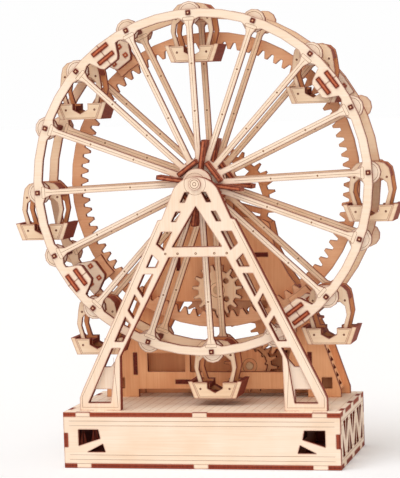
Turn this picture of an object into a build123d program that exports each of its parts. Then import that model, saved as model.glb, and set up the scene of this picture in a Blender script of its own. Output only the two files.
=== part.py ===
from build123d import *
from math import acos, atan2, cos, degrees, hypot, pi, radians, sin, sqrt, tan
import os

# A hand-cranked wheel toy, cut from flat plywood sheets and pushed together.
# Millimetres and degrees. The origin is under the middle of the base, the
# front is -Y and up is +Z. Turns are clockwise from upright, seen from the front.

# ---- sheet and fits
ply = 3.0                    # thickness of every sheet
run_clearance = 0.06         # radial play of a shaft in its hole
side_gap = 0.3               # play along an axle between a turning and a fixed face

# ---- straight sides that stand for a round outline
round_sides = 12
small_sides = 8
wide_sides = 20
rim_sides = 48
arc_sides = 2
crown_sides = 3
dowel_flat = 0.97            # flats on a shaft's round outline, as a share of its radius

# ---- base box
base_width = 191.3
base_depth = 101.0
base_height = 38.2
tab_length = 10.2            # tabs of the panels, seen in the edges of deck and floor
front_tab_inset = 8.8        # end of the panel to its outer tab
side_tab_pitch = 34.0
corner_tenon_height = 9.6
truss_bar = 2.6
truss_margin = 4.2
truss_bays = 6
# windows at each end of the long panels: inwards from the panel's end, and up
CORNER_WINDOWS = (((24.5, 26.4), (10.4, 26.4), (10.4, 15.2), (25.8, 20.2)),
                  ((27.6, 16.6), (16.5, 11.0), (29.2, 11.0)))
rib_spacing = 60.0
rib_hole_length = 24.0
rib_hole_height = 14.0

# ---- wheel
axle_height = 191.6
axle_diameter = 6.0
axle_cap_radius = 4.3
axle_cap_depth = 1.2
wheel_front = -27.7          # front face of the front wheel's sheets
wheel_depth = 39.6           # front face of the front sheets to back face of the rear ones
wheel_turn = -2.21           # how far the wheel stands turned
quadrants = 4
spokes_per_quadrant = 4
rim_radius = 118.0
rim_width = 6.0
pin_inset = 2.8              # rim's edge to the middle of each cross pin
spoke_width = 4.0
spoke_root = 2.0             # how far a spoke runs on into the hub and the rim
flare_radius = 6.0
hub_radius = 17.0
disc_radius = 8.0
cross_pin = 3.0              # width of the square ends, diameter over the rounded middle
pin_flats = 2.4              # width over the flats that are left on the rounded middle
pin_stand_out = 1.0
shaft_stand_out = 1.0
splice_depth = 16.4          # how far the rim's spliced ends reach inward
splice_root, splice_width = 24.4, 15.2   # across a splice at the rim and at its inner end
splice_ease = 1.9            # its cut corners
cover_angle = 6.2            # half of the cover plate behind a splice, seen from the axle
bracket_angle = 4.6
bracket_lap = 1.0            # root of the ring's teeth to the inner end of its brackets
cover_inset = 0.6            # cover plates and brackets stay this far inside the rim's edge
key_length = 13.3
key_offsets = (3.9, 11.0)    # rim edge to the middle of each key
bracket_pin_spread = 5.1     # seam to the middle of each pin of the rear splices
bracket_pin_offsets = (4.5, 11.8)
bracket_pin_proud = 0.4
washer_radius = 10.3
fin_inner, fin_outer = 7.0, 29.5
fin_depth = 13.0
fin_stand_out = 5.2
board_radius = 11.3          # axle to the inner face of the tangent boards
board_length = 16.2

# ---- toothed ring and gears
module = 2.2
flank_steps = 1              # straight runs in the flank of a gear's tooth
pressure_angle = 20.0
backlash = 0.35
ring_teeth = 85
ring_radius = 103.0
pinion_teeth = 15
relay_teeth = 24
upper_teeth = 32
crank_teeth = 22
lower_teeth = 16
addendum = 0.85              # in modules
pinion_addendum = 0.65
dedendum = 1.25
shaft_diameter = 5.0
upper_gear_x = 4.0
crank_gear_x = 45.3
lower_gear_x = 19.0
crank_gear_depth = 12.0
gear_gap = 2.5               # rear tower's front plate to the gears
gear_arm = 4.0
gear_rim = 4.5
gear_hub_radius = 8.0
index_disc_radius = 12.5
index_teeth = 12
INDEX_NOTCH = (3.0, 1.6)
pinion_hole_circle = 9.0
pinion_hole_radius = 1.9
pinion_holes = 4
upper_arms = 6
crank_reach = 36.0
crank_arm_width = 9.0
grip_diameter = 9.0
grip_length = 22.0
grip_rounding = 1.5
grip_pin_diameter = 4.0
arm_gap = 2.0                # rear plate to the crank arm

# ---- front tower: x and z of its right half, the left half mirrors it
front_tower_front = -42.5
tower_top_radius = 18.1
tower_top_rise = 5.0         # axle to the top of the tower
foot_tenon = 9.0
# slanting lines of the leg: x, height, run per fall
LEG_OUTSIDE = (26.7, 167.6, 0.4925)
LEG_INSIDE = (20.4, 141.5, 0.541)
WINDOW_OUTSIDE = (24.4, 159.6, 0.476)
WINDOW_INSIDE = (16.9, 159.7, 0.493)
crown_base = 188.5           # where the round top begins
LEG_NOTCH = (23.9, 168.2)    # step in the leg's outer edge
cross_bar_bottom = 142.5
cross_bar_top = 149.4
triangle_top = 176.8
triangle_half = 17.3
leg_shoulder = 53.0          # where the leg turns upright into the foot
foot_shoulder = 47.0
leg_knee = 75.3
foot_outer, foot_inner = 85.7, 56.9
foot_sill = 43.5
foot_window_top = 81.0
foot_window_knee = 73.0
foot_window_inner = 63.8
backing_panel = (52.5, 67.9)  # the inner layer closes the foot's window here
# each window's inner top, outer top, outer bottom and inner bottom
WINDOWS = ((159.7, 159.7, 151.5, 147.0), (139.8, 144.6, 135.8, 135.8), (131.2, 131.2, 121.7, 115.5),
           (111.3, 117.7, 106.7, 101.0), (97.0, 102.6, 85.5, 85.5))
# small windows beside the round top: top and bottom
UPPER_WINDOWS = ((186.2, 179.4), (173.3, 166.5))
upper_window_x = 4.0
upper_window_width = 3.4
upper_window_slope = 0.5

# ---- rear tower
rear_tower_front = 22.0
rear_tower_depth = 22.0      # over both plates
rear_neck_radius = 12.0
rear_foot_outer, rear_foot_inner = 84.6, 61.0
beam_bottom, beam_top = 43.7, 56.0
# outer edge from the foot up, then the shoulder beside the neck
REAR_OUTER = ((84.5, 43.2), (74.1, 74.1), (57.5, 113.4), (49.2, 125.1), (40.9, 141.3), (37.0, 160.5))
REAR_SHOULDER = ((33.0, 163.0), (16.0, 166.0), (12.0, 170.0))
REAR_MOUTH = ((-33, 106), (33, 106), (50, 73), (45, beam_top), (-23, beam_top), (-23, 73), (-50, 73))
REAR_WINDOW = (-54.0, -26.8, 56.3, 69.3)
REAR_FOOT_WINDOW = (71.3, 78.4, 44.4, 52.0)
BACK_MOUTH = ((-31, 104), (31, 104), (42, 80), (42, 70), (-44, 70), (-44, 80))
back_growth = 3.5            # how much wider the back plate stands below its waist
back_waist = 100.0
back_top_drop = 4.0          # axle to the top of the back plate
# bars that tie the two rear plates: middle, width and height
SPACERS = ((-63.0, 62.0, ply, 15.8), (-27.0, 49.0, 14.0, ply), (63.0, 62.0, ply, 15.8),
           (-29.0, 135.0, ply, 14.0), (29.0, 138.5, 13.0, ply))
strip_holes = 5
strip_margin = 3.0

# ---- gondolas
gondola_depth = 26.0
gondola_frame_gap = 14.0     # between the front and rear frames
gondola_top = 7.0            # pin to the top of the arch
gondola_spring = 1.5         # pin down to where the arch begins
gondola_waist = 2.6          # how far the sides draw in at the tub
gondola_shoulder = 1.4       # and under the arch
arch_flat = 8.6              # arch's shoulder to its flat top
ARCH_BULGE = (2.6, 2.2)      # how far the crown's curve stays inside its corner
window_corner = 3.0
gondola_half_width = 14.9
gondola_post = 3.0
gondola_sill = 22.0          # pin to the top of the tub
tub_height = 11.0
tub_top_half = 15.7
tub_bottom_half = 11.4
tub_notch_width = 10.8
tub_notch_depth = 7.2
tub_notch_bow = 3.0
FRAME_FOOT = (1.2, 0.4, 0.8)  # the frame's foot stays inside its cover: top, bottom and below
floor_draft = 1.2            # how much narrower the tub's floor is below
floor_raise = 0.2
tub_rim = 0.7                # how far the side boards rise above their covers' edge
bench_inner, bench_outer = 5.0, 11.0
bench_drop = 1.5             # sill down to the bench
roof_inset = 0.5
roof_board = 2.2
roof_start = 5.2             # middle to the inner end of each roof board
roof_fall = 3.0              # pin down to its lower end
arch_lintel = 4.4            # pin to the underside of the arch

# ---- places worked out from the sizes above
wheel_back = wheel_front + wheel_depth
front_disc_back = wheel_front + 2 * ply
rear_sheet_front = wheel_back - ply
rear_cover_front = rear_sheet_front - ply
ring_front = wheel_back + ply
gear_front = rear_tower_front + ply + gear_gap
rear_plate_front = rear_tower_front + rear_tower_depth - ply
gondola_middle = (front_disc_back + rear_cover_front) / 2
tower_top = axle_height + tower_top_rise
ring_pitch = module * ring_teeth / 2
sector = 360 / (quadrants * spokes_per_quadrant)
rim_inner = rim_radius - rim_width
pin_radius = rim_radius - pin_inset


def pitch_radius(teeth):
    return module * teeth / 2


def mesh_distance(teeth, others):
    return pitch_radius(teeth) + pitch_radius(others)


def height_of_mate(x, below, teeth, others, x_of_other=0.0):
    """Height of a gear at x that meshes with one at (x_of_other, below)."""
    reach = mesh_distance(teeth, others)
    return below + sqrt(reach ** 2 - (x - x_of_other) ** 2)


pinion_height = axle_height - ring_pitch + pitch_radius(pinion_teeth)
upper_gear_height = height_of_mate(upper_gear_x, pinion_height, upper_teeth, relay_teeth)
crank_gear_height = 2 * pinion_height - height_of_mate(
    crank_gear_x, pinion_height, crank_teeth, relay_teeth)
lower_gear_height = 2 * crank_gear_height - height_of_mate(
    lower_gear_x, crank_gear_height, lower_teeth, crank_teeth, crank_gear_x)

AXLE = (0.0, axle_height)
PINION = (0.0, pinion_height)
UPPER = (upper_gear_x, upper_gear_height)
CRANK = (crank_gear_x, crank_gear_height)
LOWER = (lower_gear_x, lower_gear_height)


# ---- small makers
def upright(y, centre=(0.0, 0.0)):
    """Plane facing the front at y, with its own X to the right and Y up."""
    return Plane(origin=(centre[0], y, centre[1]), x_dir=(1, 0, 0), z_dir=(0, -1, 0))


def sheet(sketch, front, centre=(0.0, 0.0), thickness=ply):
    """A flat piece cut from the sketch, from its front face backwards."""
    return extrude(upright(front, centre) * sketch, amount=-thickness)


def disc(radius, sides=round_sides):
    return RegularPolygon(radius, sides)


def hole(radius, sides=round_sides):
    """A round hole; its sides touch the circle from outside, so a shaft clears them."""
    return RegularPolygon(radius, sides, major_radius=False)


def bent(start, middle, end, sides=arc_sides):
    """A curve through three points, in a few straight sides."""
    arc = ThreePointArc(start, middle, end)
    return Polyline(*[arc @ (i / sides) for i in range(sides + 1)])


def dowel(diameter):
    """Outline of a shaft: true arcs on its diameter, with narrow flats between them."""
    return Circle(diameter / 2) & hole(diameter / 2 * dowel_flat, small_sides)


def rod(diameter, front, back, centre):
    return sheet(dowel(diameter), front, centre, back - front)


def turned(angle, shape):
    return Rot(0, 0, -angle) * shape


def block(x0, x1, z0, z1):
    return Pos((x0 + x1) / 2, (z0 + z1) / 2) * Rectangle(x1 - x0, z1 - z0)


def outline(points):
    return make_face(Polyline(*points, close=True))


def both_sides(shape):
    return shape + mirror(shape, about=Plane.YZ)


def group(solids):
    return Compound(children=[piece for piece in solids])


def save(name, shape):
    export_step(shape, os.path.join("parts", name + ".step"))


# ---- base box
def panel_tabs():
    """Middles of the three tabs along the front and back panels."""
    outer = base_width / 2 - front_tab_inset - tab_length / 2
    return (-outer, 0.0, outer)


def corner_truss():
    """The windows with a slanting bar between them at both ends of a panel."""
    cut = Sketch()
    for window in CORNER_WINDOWS:
        cut += outline([(base_width / 2 - inward, up) for inward, up in window])
    return both_sides(cut)


def long_panel():
    body = block(-base_width / 2, base_width / 2, ply, base_height - ply)
    for x in panel_tabs():
        body += Pos(x, base_height / 2) * Rectangle(tab_length, base_height)
    for side in (-1, 1):
        body -= Pos(side * (base_width - ply) / 2, base_height / 2) * Rectangle(
            ply, corner_tenon_height)
    return body - corner_truss()


def truss_windows(length, height, bays):
    """Triangles left between the zigzag and the upright bars of a truss."""
    bay = length / bays
    bar = truss_bar / 2
    slope = degrees(atan2(height, bay))
    shift = bar / sin(radians(slope))
    windows = Sketch()
    for i in range(bays):
        left = -length / 2 + i * bay + bar
        right = left + bay - 2 * bar
        rise = (right - left - 2 * shift) * tan(radians(slope))
        first = [(left, -height / 2), (left + rise / tan(radians(slope)), -height / 2),
                 (left, -height / 2 + rise)]
        second = [(right, height / 2), (right - rise / tan(radians(slope)), height / 2),
                  (right, height / 2 - rise)]
        pair = outline(first) + outline(second)
        if i % 2:
            pair = Pos(left + right, 0) * mirror(pair, about=Plane.YZ)
        windows += pair
    return windows


def side_panel_sketch():
    length = base_depth - 2 * ply
    body = Rectangle(length, base_height - 2 * ply)
    body += Rectangle(base_depth, corner_tenon_height)
    for i in (-1, 0, 1):
        body += Pos(i * side_tab_pitch, 0) * Rectangle(tab_length, base_height)
    inner_height = base_height - 2 * ply - 2 * truss_margin
    return body - truss_windows(length - 2 * truss_margin, inner_height, truss_bays)


def side_panels():
    plane = Plane(origin=(base_width / 2, 0, base_height / 2), x_dir=(0, 1, 0), z_dir=(1, 0, 0))
    right = extrude(plane * side_panel_sketch(), amount=-ply)
    return group([right, mirror(right, about=Plane.YZ)])


def deck_notches():
    cut = Sketch()
    for x in panel_tabs():
        for side in (-1, 1):
            cut += Pos(x, side * (base_depth - ply) / 2) * Rectangle(tab_length, ply)
    for i in (-1, 0, 1):
        for side in (-1, 1):
            cut += Pos(side * (base_width - ply) / 2, i * side_tab_pitch) * Rectangle(
                ply, tab_length)
    return cut


def foot_slots():
    """Slots in the deck for the tenons under both towers."""
    cut = Sketch()
    rows = ((front_tower_front, front_foot_middle()), (rear_tower_front, rear_foot_middle()),
            (rear_plate_front, rear_foot_middle()))
    for front, x in rows:
        for side in (-1, 1):
            cut += Pos(side * x, front + ply / 2) * Rectangle(foot_tenon, ply)
    return cut


def base_pieces():
    plate = Rectangle(base_width, base_depth) - deck_notches()
    deck = extrude(Plane.XY.offset(base_height) * (plate - foot_slots()), amount=-ply)
    save("base_floor", extrude(Plane.XY * plate, amount=ply))
    save("base_deck", deck)
    save("base_front_panel", sheet(long_panel(), -base_depth / 2))
    save("base_back_panel", sheet(long_panel(), base_depth / 2 - ply))
    save("base_side_panels", side_panels())
    rib = Rectangle(base_depth - 2 * ply, base_height - 2 * ply)
    rib -= Rectangle(rib_hole_length, rib_hole_height)
    ribs = []
    for i in (-1, 0, 1):
        plane = Plane(origin=(i * rib_spacing - ply / 2, 0, base_height / 2), x_dir=(0, 1, 0),
                      z_dir=(1, 0, 0))
        ribs.append(extrude(plane * rib, amount=ply))
    save("base_ribs", group(ribs))


# ---- front tower
def leg_x(line, z):
    """Where a slanting leg line (x, z, run per fall) stands at height z."""
    x, height, slope = line
    return x + (height - z) * slope


def front_foot_middle():
    return (foot_outer + foot_inner) / 2


def rear_foot_middle():
    return (rear_foot_outer + rear_foot_inner) / 2


def leg_window(heights):
    inner_top, outer_top, outer_low, inner_low = heights
    return outline([(leg_x(WINDOW_INSIDE, inner_top), inner_top),
                    (leg_x(WINDOW_OUTSIDE, outer_top), outer_top),
                    (leg_x(WINDOW_OUTSIDE, outer_low), outer_low),
                    (leg_x(WINDOW_INSIDE, inner_low), inner_low)])


def foot_window(top, low):
    """Part of the long opening above the foot, between two heights."""
    points = [(leg_x(WINDOW_INSIDE, top), top)]
    if top > foot_window_knee:
        points.append((leg_x(WINDOW_INSIDE, foot_window_knee), foot_window_knee))
    else:
        points.append((foot_window_inner, top))
    if low < foot_window_knee:
        points.append((foot_window_inner, low))
    points += [(leg_x(WINDOW_OUTSIDE, low), low), (leg_x(WINDOW_OUTSIDE, top), top)]
    return outline(points)


def tower_half():
    """Right half of the front tower's outline, without its windows."""
    crown = tower_top - tower_top_radius
    side = sqrt(tower_top_radius ** 2 - (crown_base - crown) ** 2)
    points = [(0, crown_base), (0, cross_bar_bottom),
              (leg_x(LEG_INSIDE, cross_bar_bottom), cross_bar_bottom),
              (leg_x(LEG_INSIDE, leg_knee), leg_knee), (foot_inner, base_height),
              (foot_outer, base_height), (foot_outer, foot_shoulder),
              (leg_x(LEG_OUTSIDE, leg_shoulder), leg_shoulder), LEG_OUTSIDE[:2], LEG_NOTCH,
              (side, crown_base)]
    arch = Pos(0, crown) * disc(tower_top_radius, rim_sides)
    return outline(points) + (arch & block(0, tower_top_radius, crown_base, tower_top))


def upper_window(top, low):
    shift = upper_window_slope
    start = UPPER_WINDOWS[0][0]
    high, deep = upper_window_x + (start - top) * shift, upper_window_x + (start - low) * shift
    return outline([(high, top), (high + upper_window_width, top), (deep + upper_window_width, low),
                    (deep, low)])


def tower_openings(foot_cuts):
    cut = outline([(0, triangle_top), (triangle_half, cross_bar_top), (0, cross_bar_top)])
    for top, low in UPPER_WINDOWS:
        cut += upper_window(top, low)
    for heights in WINDOWS:
        cut += leg_window(heights)
    for top, low in foot_cuts:
        cut += foot_window(top, low)
    return cut


def foot_tenons(middle):
    cut = Sketch()
    for side in (-1, 1):
        cut += Pos(side * middle, base_height - ply / 2) * Rectangle(foot_tenon, ply)
    return cut


def front_tower():
    half = tower_half()
    axle_hole = running_hole(AXLE, axle_diameter)
    panel_bottom, panel_top = backing_panel
    face = both_sides(half - tower_openings([(foot_window_top, foot_sill)])) - axle_hole
    face += foot_tenons(front_foot_middle())
    save("front_tower_face", sheet(face, front_tower_front))
    cuts = [(foot_window_top, panel_top), (panel_bottom, foot_sill)]
    backing = both_sides(half - tower_openings(cuts)) - axle_hole
    save("front_tower_backing", sheet(backing, front_tower_front + ply))


# ---- rear tower
def rear_half(growth=0.0):
    """Right half of a rear plate's outline; growth widens it below its waist."""
    points = [(0, axle_height), (rear_neck_radius, axle_height)]
    points += reversed(REAR_SHOULDER)
    for x, z in reversed(REAR_OUTER):
        points.append((x + growth if z < back_waist else x, z))
    points += [(rear_foot_outer + growth, base_height), (rear_foot_inner, base_height),
               (rear_foot_inner, beam_bottom), (0, beam_bottom)]
    return outline(points)


def spacer_slots():
    cut = Sketch()
    for x, z, wide, high in SPACERS:
        cut += Pos(x, z) * Rectangle(wide, high)
    return cut


def running_hole(place, diameter):
    return Pos(*place) * hole(diameter / 2 + run_clearance)


def rear_tower():
    crown = Pos(*AXLE) * disc(rear_neck_radius, wide_sides)
    plate = both_sides(rear_half()) + crown - outline(REAR_MOUTH)
    plate -= block(*REAR_WINDOW) + both_sides(block(*REAR_FOOT_WINDOW))
    plate -= spacer_slots() + running_hole(AXLE, axle_diameter)
    for place in (PINION, UPPER, CRANK):
        plate -= running_hole(place, shaft_diameter)
    plate += foot_tenons(rear_foot_middle())
    save("rear_tower_front_plate", sheet(plate, rear_tower_front))

    back = both_sides(rear_half(back_growth))
    back &= block(-base_width / 2, base_width / 2, 0, axle_height - back_top_drop)
    back -= outline(BACK_MOUTH) + spacer_slots()
    for place in (PINION, UPPER, CRANK, LOWER):
        back -= running_hole(place, shaft_diameter)
    back += foot_tenons(rear_foot_middle())
    save("rear_tower_back_plate", sheet(back, rear_plate_front))

    bars = [sheet(Rectangle(wide, high), rear_tower_front, (x, z), rear_tower_depth)
            for x, z, wide, high in SPACERS]
    save("rear_tower_spacers", group(bars))
    save("rear_tower_side_strips", group(side_strips()))


def side_strips():
    """Pierced strips between the rear plates, along their sloping lower edges."""
    low, high = REAR_OUTER[0], REAR_OUTER[1]
    length = hypot(high[0] - low[0], high[1] - low[1])
    lean = degrees(atan2(low[0] - high[0], high[1] - low[1]))
    wide = rear_tower_depth - 2 * ply
    strip = Rectangle(wide, length)
    step = length / (strip_holes + 0.6)
    half = wide / 2 - strip_margin
    for i in range(strip_holes):
        z = (i - (strip_holes - 1) / 2) * step
        strip -= Pos(0, z) * outline([(-half, -step * 0.3), (half, -step * 0.3), (0, step * 0.35)])
    middle = ((low[0] + high[0]) / 2 - 1.0, (low[1] + high[1]) / 2)
    plane = Plane(origin=(middle[0], rear_tower_front + rear_tower_depth / 2, middle[1]),
                  x_dir=(0, 1, 0), z_dir=(cos(radians(lean)), 0, sin(radians(lean))))
    right = extrude(plane * strip, amount=-ply)
    return [right, mirror(right, about=Plane.YZ)]


# ---- wheel
def wheel_sheet(sketch, front, thickness=ply):
    return sheet(turned(wheel_turn, sketch), front, AXLE, thickness)


def wedge(half_angle, radius):
    """A slice of the wheel either side of upright."""
    reach = radius / cos(radians(half_angle))
    x, z = reach * sin(radians(half_angle)), reach * cos(radians(half_angle))
    return outline([(0, 0), (-x, z), (x, z)])


def ring_sketch(outer, inner, sides=rim_sides):
    return disc(outer, sides) - disc(inner, sides)


def joint_turns():
    """Turn of each cross pin: one on every spoke."""
    return [sector * k for k in range(quadrants * spokes_per_quadrant)]


def seam_turns():
    """Turn of each joint between neighbouring quadrants."""
    return [sector * (spokes_per_quadrant * q - 1.5) for q in range(quadrants)]


def fin_turns():
    return [turn + 180 / quadrants for turn in seam_turns()]


def spoke_sketch():
    """One spoke with its flare where it runs into the rim."""
    length = rim_inner - hub_radius + 2 * spoke_root
    body = Pos(0, (hub_radius + rim_inner) / 2) * Rectangle(spoke_width, length)
    foot = spoke_width / 2 + flare_radius
    flare = Pos(0, rim_inner - flare_radius / 2 + 0.5) * Rectangle(2 * foot, flare_radius + 1)
    for side in (-1, 1):
        flare -= Pos(side * foot, rim_inner - flare_radius) * disc(flare_radius, small_sides)
    return body + flare


def keys_at(turn):
    """The two long keys of a front splice, as flat shapes."""
    cut = Sketch()
    for offset in key_offsets:
        cut += turned(turn, Pos(0, rim_radius - offset) * Rectangle(key_length, ply))
    return cut


def pins_at(turn):
    """The four square pins of a rear splice, as flat shapes."""
    cut = Sketch()
    for offset in bracket_pin_offsets:
        for side in (-1, 1):
            place = Pos(side * bracket_pin_spread, rim_radius - offset)
            cut += turned(turn, place * Rectangle(cross_pin, cross_pin))
    return cut


def fin_slot(turn):
    middle, length = (fin_inner + fin_outer) / 2, fin_outer - fin_inner
    return turned(turn, Pos(0, middle) * Rectangle(ply, length))


def board_slot(turn):
    return turned(turn, Pos(0, board_radius + ply / 2) * Rectangle(board_length, ply))


def splice_foot():
    """The deepened rim at a seam, upright: it narrows inward, and its corners are cut."""
    low = rim_radius - splice_depth
    right = [(splice_root / 2, rim_inner + 0.5), (splice_width / 2, low + splice_ease),
             (splice_width / 2 - splice_ease, low)]
    return outline(right + [(-x, z) for x, z in reversed(right)])


def quadrant_sketch(index, splice_cuts):
    """A quarter of the wheel: its rim, its spokes and its share of the hub."""
    seam = seam_turns()[index]
    middle = seam + 180 / quadrants
    share = wedge(180 / quadrants, rim_radius + ply)
    rim = ring_sketch(rim_radius, rim_inner)
    rim += turned(-180 / quadrants, splice_foot()) + turned(180 / quadrants, splice_foot())
    piece = turned(middle, (rim + disc(hub_radius, wide_sides)) & share)
    for i in range(spokes_per_quadrant):
        piece += turned(seam + sector * (i + 0.5), spoke_sketch())
    for i in range(spokes_per_quadrant):
        pin_hole = Pos(0, pin_radius) * Rectangle(cross_pin, cross_pin)
        piece -= turned(seam + sector * (i + 0.5), pin_hole)
    piece -= fin_slot(middle) + hole(axle_diameter / 2)
    for turn in (seam, seam + 360 / quadrants):
        piece -= splice_cuts(turn) + board_slot(turn)
    return piece


def wheel_quadrants():
    for i in range(quadrants):
        front, rear = quadrant_sketch(i, keys_at), quadrant_sketch(i, pins_at)
        save("front_quadrant_%d" % (i + 1), wheel_sheet(front, wheel_front))
        save("rear_quadrant_%d" % (i + 1), wheel_sheet(rear, rear_sheet_front))


def joint_discs():
    shape = disc(disc_radius) - Rectangle(cross_pin, cross_pin)
    for name, front in (("front_joint_discs", wheel_front + ply), ("rear_joint_discs", wheel_back)):
        discs = [wheel_sheet(turned(turn, Pos(0, pin_radius) * shape), front) for turn in joint_turns()]
        save(name, group(discs))


def cross_bars():
    """Gondola pins on every other spoke, and square bars on those between."""
    square = Rectangle(cross_pin, cross_pin)
    eased = Rectangle(pin_flats, pin_flats)
    end = 2 * ply + pin_stand_out
    pins, bars = [], []
    for i, turn in enumerate(joint_turns()):
        place = turned(turn, Pos(0, pin_radius) * square)
        if i % 2:
            length = wheel_depth + ply + 2 * pin_stand_out
            bars.append(wheel_sheet(place, wheel_front - pin_stand_out, length))
        else:
            pin = wheel_sheet(place, wheel_front - pin_stand_out, end)
            pin += wheel_sheet(place, rear_sheet_front, end)
            core = turned(turn, Pos(0, pin_radius) * (Circle(cross_pin / 2) & eased))
            pins.append(pin + wheel_sheet(core, front_disc_back, rear_sheet_front - front_disc_back))
    save("gondola_pins", group(pins))
    save("rim_spacer_bars", group(bars))


def splices():
    """Cover plates at the rim's seams, with the keys and pins that lock them."""
    span = wedge(cover_angle, rim_radius + ply)
    cover = (ring_sketch(rim_radius - cover_inset, rim_inner) & span) + splice_foot()
    plates, locks = [], []
    for turn in seam_turns():
        piece = turned(turn, cover)
        plates.append(wheel_sheet(piece - keys_at(turn), wheel_front + ply))
        plates.append(wheel_sheet(piece - pins_at(turn), rear_cover_front))
        for key in keys_at(turn).faces():
            locks.append(wheel_sheet(key, wheel_front - pin_stand_out, 2 * ply + pin_stand_out))
        for pin in pins_at(turn).faces():
            locks.append(wheel_sheet(pin, rear_cover_front - bracket_pin_proud,
                                     3 * ply + bracket_pin_proud))
    save("rim_splice_plates", group(plates))
    save("rim_splice_keys", group(locks))


def hub():
    bore = hole(axle_diameter / 2)
    plate = disc(board_radius, wide_sides) - bore
    for turn in fin_turns():
        plate -= fin_slot(turn)
    washer_front = front_tower_front + 2 * ply + side_gap
    washer = disc(washer_radius, wide_sides) - bore
    fin_front = wheel_front - fin_stand_out
    discs = [wheel_sheet(plate, wheel_front + ply), wheel_sheet(plate, rear_cover_front),
             wheel_sheet(washer, washer_front, fin_front - washer_front)]
    save("hub_discs", group(discs))
    rear_fin_back = ring_front + ply
    fins, boards = [], []
    for turn in fin_turns():
        fins.append(wheel_sheet(fin_slot(turn), fin_front, fin_depth))
        fins.append(wheel_sheet(fin_slot(turn), rear_fin_back - fin_depth, fin_depth))
    for turn in seam_turns():
        boards.append(wheel_sheet(board_slot(turn), fin_front, fin_depth))
        boards.append(wheel_sheet(board_slot(turn), rear_fin_back - fin_depth, fin_depth))
    save("hub_fins", group(fins))
    save("hub_boards", group(boards))


def axle():
    cap_back = front_tower_front - side_gap
    rod_back = rear_tower_front + ply + axle_cap_depth
    cap = wheel_sheet(disc(axle_cap_radius), cap_back - axle_cap_depth, axle_cap_depth)
    shaft = wheel_sheet(dowel(axle_diameter), cap_back, rod_back - cap_back)
    save("wheel_axle", cap + shaft)


# ---- gears
def involute(angle):
    return tan(angle) - angle


def gear_points(teeth, tip, root, play, steps=flank_steps):
    """Tooth outline with the middle of one tooth pointing to +X."""
    pitch = pitch_radius(teeth)
    base = pitch * cos(radians(pressure_angle))
    half = pi / (2 * teeth) - play / (2 * pitch) + involute(radians(pressure_angle))
    low = max(root, base)
    rising = []
    for i in range(steps + 1):
        radius = low + (tip - low) * i / steps
        rising.append((radius, half - involute(acos(min(1.0, base / radius)))))
    rising[0] = (root, rising[0][1])
    points = []
    for i in range(teeth):
        centre = 2 * pi * i / teeth
        for radius, away in rising:
            points.append((radius * cos(centre - away), radius * sin(centre - away)))
        for radius, away in reversed(rising):
            points.append((radius * cos(centre + away), radius * sin(centre + away)))
    return points


def gear_sketch(teeth, top=addendum):
    pitch = pitch_radius(teeth)
    return outline(gear_points(teeth, pitch + top * module, pitch - dedendum * module, backlash))


def tooth_phase(centre, mate, teeth, mates, phase):
    """Turn of a gear's tooth that drops it into the teeth of its mate.
    phase is the mate's own; both count from +X, against the clock."""
    line = degrees(atan2(centre[1] - mate[1], centre[0] - mate[0]))
    return line + 180 + 180 / teeth - (phase - line) * mates / teeth


PINION_PHASE = -90.0
UPPER_PHASE = tooth_phase(UPPER, PINION, upper_teeth, relay_teeth, PINION_PHASE)
CRANK_PHASE = tooth_phase(CRANK, PINION, crank_teeth, relay_teeth, PINION_PHASE)
LOWER_PHASE = tooth_phase(LOWER, CRANK, lower_teeth, crank_teeth, CRANK_PHASE)


def toothed_ring():
    tip = ring_pitch - addendum * module
    root = ring_pitch + dedendum * module
    mouth = outline(gear_points(ring_teeth, root, tip, -backlash, 1))
    ring = disc(ring_radius, rim_sides) - Rot(0, 0, -90) * mouth
    save("toothed_ring", sheet(ring, ring_front, AXLE))
    brackets = []
    span = wedge(bracket_angle, rim_radius + ply)
    plate = ring_sketch(rim_radius - cover_inset, root + bracket_lap) & span
    for turn in seam_turns():
        brackets.append(wheel_sheet(turned(turn, plate) - pins_at(turn), wheel_back))
    save("ring_brackets", group(brackets))


def lightened(teeth, arms):
    """A gear with arms between its hub and its toothed rim."""
    inner = pitch_radius(teeth) - dedendum * module - gear_rim
    cut = ring_sketch(inner, gear_hub_radius, wide_sides)
    for i in range(arms):
        cut -= Rot(0, 0, 360 / arms * i) * Pos(inner / 2, 0) * Rectangle(inner * 1.2, gear_arm)
    return gear_sketch(teeth) - cut


def on_shaft(shape, phase):
    """The shape turned to its phase, with a hole that its shaft fills."""
    return Rot(0, 0, phase) * shape - hole(shaft_diameter / 2)


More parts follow.
